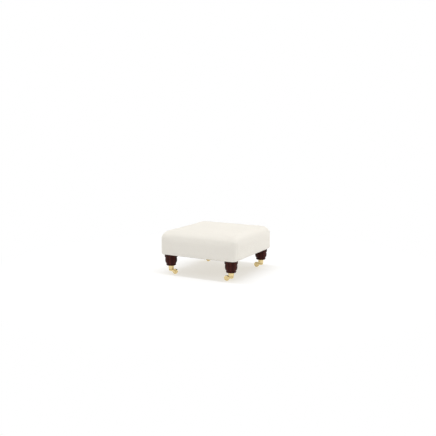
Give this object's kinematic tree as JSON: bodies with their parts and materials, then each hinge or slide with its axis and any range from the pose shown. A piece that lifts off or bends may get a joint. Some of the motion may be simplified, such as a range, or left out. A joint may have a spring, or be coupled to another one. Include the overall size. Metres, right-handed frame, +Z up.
{
  "type": "footstool",
  "caption": "Square footstool with a pulled-over cream fabric top on turned dark wood legs with swivelling brass cup castors.",
  "frame": {"origin": "on the floor, under the middle of the stool", "axes": "+Z up, -Y to the front, +X to the right as seen from the front"},
  "size_m": [0.6, 0.6, 0.3192],
  "materials": {
    "cover_fabric": "matt plain weave in off-white cream",
    "wadding": "white polyester wadding",
    "foam": "cream seat foam",
    "hessian": "open brown hessian",
    "jute": "jute webbing",
    "bottoming_cloth": "black bottoming cloth",
    "beech": "planed beech, unfinished",
    "mahogany": "dark mahogany stain under satin lacquer",
    "brass": "polished brass",
    "steel": "zinc plated steel"
  },
  "bodies": {
    "stool": {"cover": "cover_fabric", "wadding": "wadding", "foam": "foam", "hessian": "hessian", "webbing_lengthwise": "jute", "webbing_crosswise": "jute", "webbing_staples": "steel", "rail_front": "beech", "rail_back": "beech", "rail_left": "beech", "rail_right": "beech", "rail_dowels": "beech", "corner_block_front_left": "beech", "corner_block_front_right": "beech", "corner_block_back_right": "beech", "corner_block_back_left": "beech", "corner_block_screws": "steel", "tee_nuts": "steel", "hanger_bolts": "steel", "dust_cover": "bottoming_cloth", "cover_staples": "steel", "dust_cover_staples": "steel", "leg_front_left": "mahogany", "leg_front_right": "mahogany", "leg_back_right": "mahogany", "leg_back_left": "mahogany", "cup_front_left": "brass", "cup_front_right": "brass", "cup_back_right": "brass", "cup_back_left": "brass", "cup_screws": "brass", "swivel_pins": "steel", "swivel_washers": "steel"},
    "castor_front_left": {"horn_front_left": "brass", "axle_front_left": "brass"},
    "roller_front_left": {"wheel_front_left": "brass"},
    "castor_front_right": {"horn_front_right": "brass", "axle_front_right": "brass"},
    "roller_front_right": {"wheel_front_right": "brass"},
    "castor_back_right": {"horn_back_right": "brass", "axle_back_right": "brass"},
    "roller_back_right": {"wheel_back_right": "brass"},
    "castor_back_left": {"horn_back_left": "brass", "axle_back_left": "brass"},
    "roller_back_left": {"wheel_back_left": "brass"}
  },
  "joints": [
    {"name": "swivel_front_left", "type": "hinge", "parent": "stool", "child": "castor_front_left", "pos_m": [-0.241, -0.241, 0.026], "axis": [0, 0, 1], "continuous": true},
    {"name": "roll_front_left", "type": "hinge", "parent": "castor_front_left", "child": "roller_front_left", "pos_m": [-0.20746, -0.241, 0.019], "axis": [0, 1, 0], "continuous": true},
    {"name": "swivel_front_right", "type": "hinge", "parent": "stool", "child": "castor_front_right", "pos_m": [0.241, -0.241, 0.026], "axis": [0, 0, 1], "continuous": true},
    {"name": "roll_front_right", "type": "hinge", "parent": "castor_front_right", "child": "roller_front_right", "pos_m": [0.20746, -0.241, 0.019], "axis": [0, 1, 0], "continuous": true},
    {"name": "swivel_back_right", "type": "hinge", "parent": "stool", "child": "castor_back_right", "pos_m": [0.241, 0.241, 0.026], "axis": [0, 0, 1], "continuous": true},
    {"name": "roll_back_right", "type": "hinge", "parent": "castor_back_right", "child": "roller_back_right", "pos_m": [0.20746, 0.241, 0.019], "axis": [0, 1, 0], "continuous": true},
    {"name": "swivel_back_left", "type": "hinge", "parent": "stool", "child": "castor_back_left", "pos_m": [-0.241, 0.241, 0.026], "axis": [0, 0, 1], "continuous": true},
    {"name": "roll_back_left", "type": "hinge", "parent": "castor_back_left", "child": "roller_back_left", "pos_m": [-0.20746, 0.241, 0.019], "axis": [0, 1, 0], "continuous": true}
  ]
}
